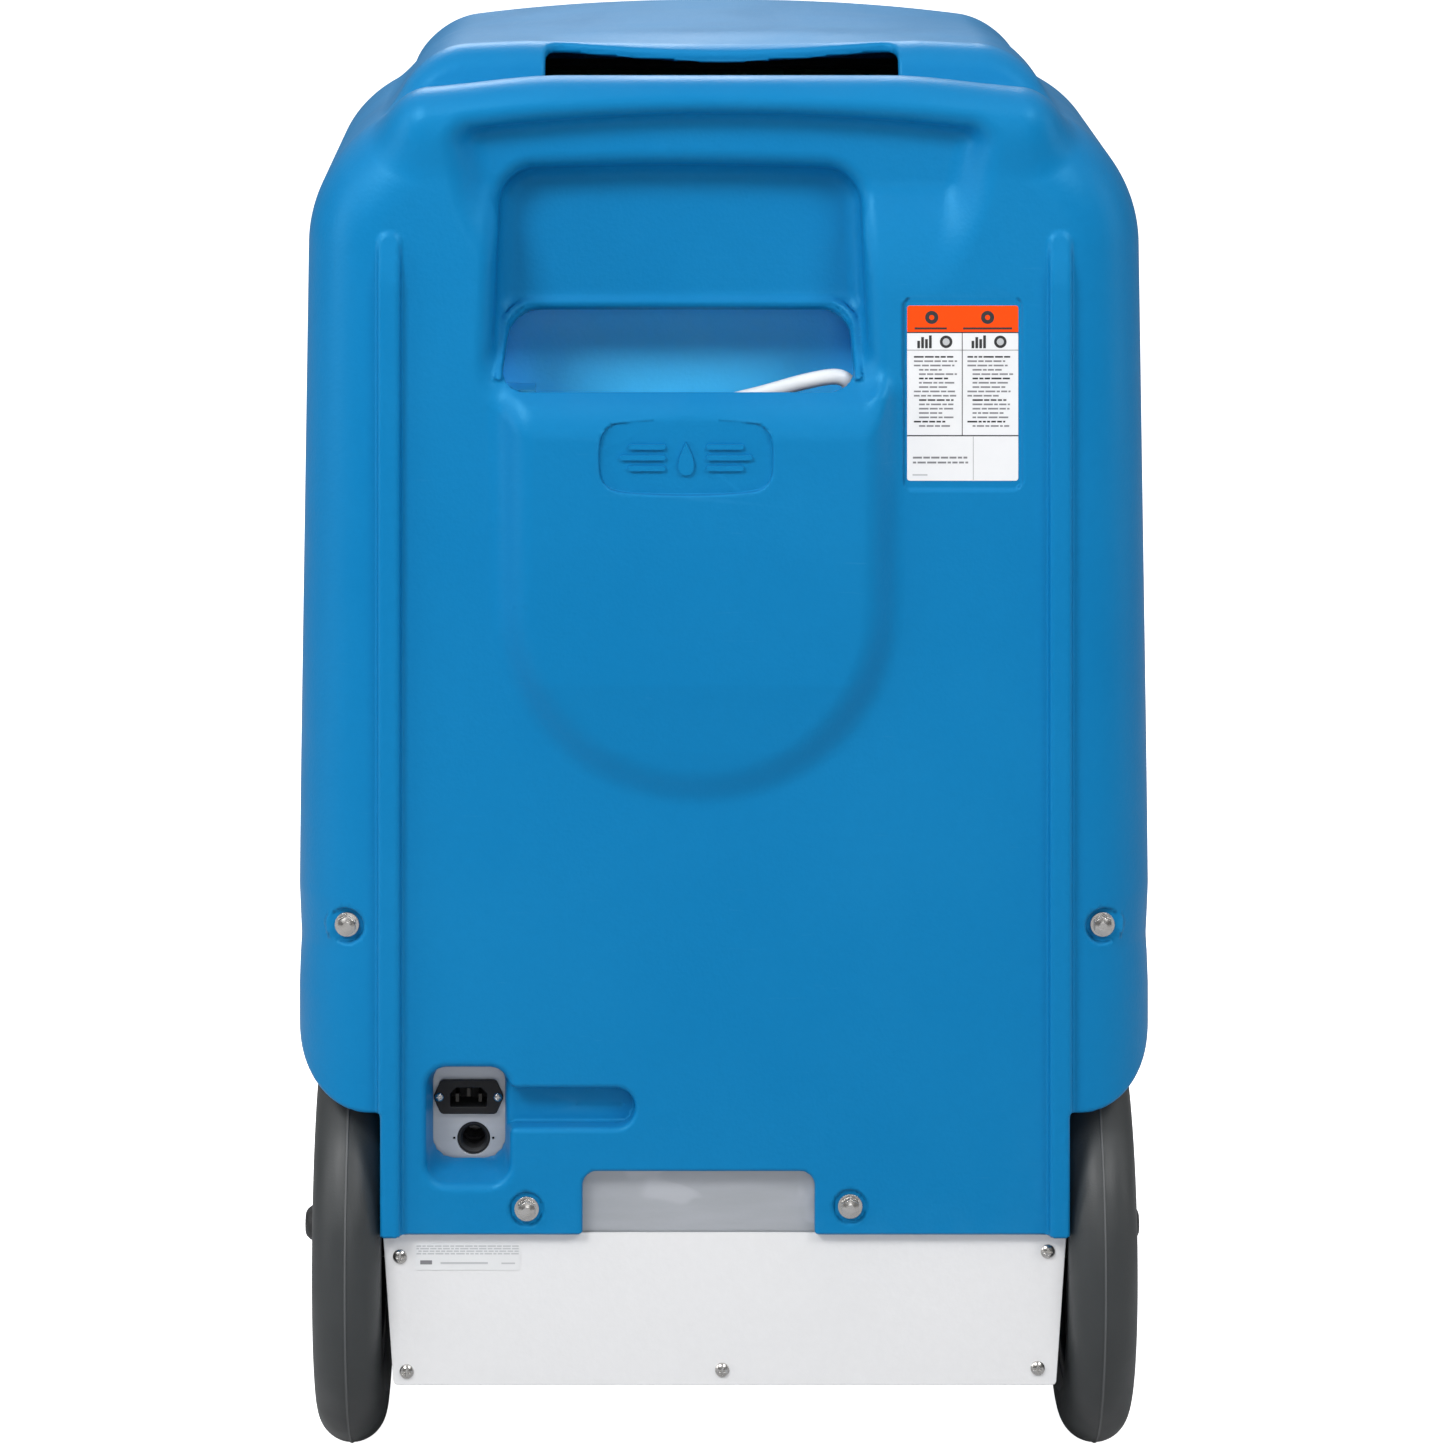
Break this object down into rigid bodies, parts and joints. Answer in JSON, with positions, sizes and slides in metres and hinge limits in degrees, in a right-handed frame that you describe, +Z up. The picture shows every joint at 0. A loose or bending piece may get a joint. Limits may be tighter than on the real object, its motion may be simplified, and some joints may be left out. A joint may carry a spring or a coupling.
{
  "type": "dehumidifier",
  "caption": "Upright wheeled refrigerant dehumidifier: blue molded housing with grip bar, hose pocket, storage slot, side air outlet, front intake grille and white base panel.",
  "frame": {"origin": "centre of the overall footprint at floor level", "axes": "+Z up, +Y towards the rear with the two big wheels and the grip bar, -Y towards the intake grille and control panel, +X towards the side with the process-air outlet"},
  "size_m": [0.508, 0.508, 0.856],
  "materials": {
    "blue_polyethylene": "rotomolded polyethylene, fine satin grain",
    "liner_blue": "molded polyethylene, satin",
    "black_plastic": "molded black plastic, fine grain",
    "grille_black": "molded black plastic, satin",
    "hose_vinyl": "milky translucent vinyl",
    "cord_rubber": "black cord jacket, dull",
    "label_film": "printed label film, semi-gloss",
    "white_sheet": "powder coat, fine orange peel",
    "grey_sheet": "galvanised sheet, semi-gloss",
    "zinc_steel": "bright zinc plate",
    "steel_shaft": "ground bar",
    "contact_brass": "drawn contact blade",
    "foot_rubber": "moulded rubber",
    "tyre_rubber": "smooth dark grey rubber",
    "rim_plastic": "moulded black plastic",
    "bush_nylon": "natural nylon",
    "compressor_paint": "semi-gloss black enamel",
    "refrigerant_copper": "drawn copper, lightly oxidised",
    "coil_fins": "mill finish",
    "pump_plastic": "moulded grey-black plastic",
    "float_white": "foamed plastic",
    "motor_metal": "die cast, bead blasted",
    "guard_wire": "black powder coat wire",
    "filter_card": "coated board frame",
    "filter_fleece": "pleated synthetic fleece",
    "panel_plastic": "textured control bezel",
    "window_clear": "clear acrylic",
    "board_green": "solder-masked board",
    "button_grey": "silicone key"
  },
  "bodies": {
    "machine": {"housing_shell": "blue_polyethylene", "hose_pocket_liner": "liner_blue", "drain_hose": "hose_vinyl", "storage_well_liner": "black_plastic", "power_cord": "cord_rubber", "instruction_label": "label_film", "rating_plate": "label_film", "base_pan": "grey_sheet", "rear_base_panel": "white_sheet", "base_panel_screws": "zinc_steel", "rear_frame_plate": "grey_sheet", "frame_uprights": "grey_sheet", "shell_bolts": "zinc_steel", "front_feet": "foot_rubber", "inlet_plate": "grey_sheet", "power_inlet": "black_plastic", "inlet_pins": "contact_brass", "inlet_screws": "zinc_steel", "drain_coupling": "black_plastic", "axle": "steel_shaft", "axle_caps": "rim_plastic", "compressor": "compressor_paint", "compressor_mounts": "foot_rubber", "accumulator": "compressor_paint", "evaporator_tube": "refrigerant_copper", "evaporator_fins": "coil_fins", "condenser_tube": "refrigerant_copper", "condenser_fins": "coil_fins", "coil_shroud": "grey_sheet", "condensate_tray": "pump_plastic", "refrigerant_lines": "refrigerant_copper", "pump_reservoir": "pump_plastic", "pump_motor": "pump_plastic", "drain_tubes": "hose_vinyl", "fan_motor": "motor_metal", "fan_ring": "black_plastic", "outlet_collar": "black_plastic", "outlet_guard": "guard_wire", "control_panel": "panel_plastic", "display_window": "window_clear", "control_board": "board_green", "electrical_box": "grey_sheet", "wiring_harness": "cord_rubber"},
    "left_wheel": {"tyre_left": "tyre_rubber", "rim_left": "rim_plastic", "bush_left": "bush_nylon"},
    "right_wheel": {"tyre_right": "tyre_rubber", "rim_right": "rim_plastic", "bush_right": "bush_nylon"},
    "fan": {"fan_rotor": "black_plastic"},
    "pump_impeller": {"pump_rotor": "pump_plastic"},
    "float": {"pump_float": "float_white"},
    "power_button": {"button_power": "button_grey"},
    "menu_button": {"button_menu": "button_grey"},
    "down_button": {"button_down": "button_grey"},
    "up_button": {"button_up": "button_grey"},
    "release_collar": {"drain_release_collar": "black_plastic"},
    "intake": {"intake_grille": "grille_black", "filter_frame": "filter_card", "filter_media": "filter_fleece"}
  },
  "joints": [
    {"name": "left_wheel_spin", "type": "hinge", "parent": "machine", "child": "left_wheel", "pos_m": [0.2235, 0.127, 0.127], "axis": [1, 0, 0], "continuous": true},
    {"name": "right_wheel_spin", "type": "hinge", "parent": "machine", "child": "right_wheel", "pos_m": [-0.2235, 0.127, 0.127], "axis": [1, 0, 0], "continuous": true},
    {"name": "fan_spin", "type": "hinge", "parent": "machine", "child": "fan", "pos_m": [0.201, 0.005, 0.505], "axis": [1, 0, 0], "continuous": true},
    {"name": "pump_spin", "type": "hinge", "parent": "machine", "child": "pump_impeller", "pos_m": [0.112, 0.18, 0.07], "axis": [0, 0, 1], "continuous": true},
    {"name": "float_rise", "type": "slide", "parent": "machine", "child": "float", "axis": [0, 0, 1], "range_m": [-0.02, 0.025]},
    {"name": "power_press", "type": "slide", "parent": "machine", "child": "power_button", "axis": [0, 0.7071, -0.7071], "range_m": [0, 0.001], "stiffness_N_per_m": 900},
    {"name": "menu_press", "type": "slide", "parent": "machine", "child": "menu_button", "axis": [0, 0.7071, -0.7071], "range_m": [0, 0.001], "stiffness_N_per_m": 900},
    {"name": "down_press", "type": "slide", "parent": "machine", "child": "down_button", "axis": [0, 0.7071, -0.7071], "range_m": [0, 0.001], "stiffness_N_per_m": 900},
    {"name": "up_press", "type": "slide", "parent": "machine", "child": "up_button", "axis": [0, 0.7071, -0.7071], "range_m": [0, 0.001], "stiffness_N_per_m": 900},
    {"name": "release_collar_press", "type": "slide", "parent": "machine", "child": "release_collar", "axis": [0, -1, 0], "range_m": [0, 0.0025], "stiffness_N_per_m": 600},
    {"name": "intake_pull", "type": "slide", "parent": "machine", "child": "intake", "axis": [0, -1, 0], "range_m": [0, 0.06]}
  ]
}
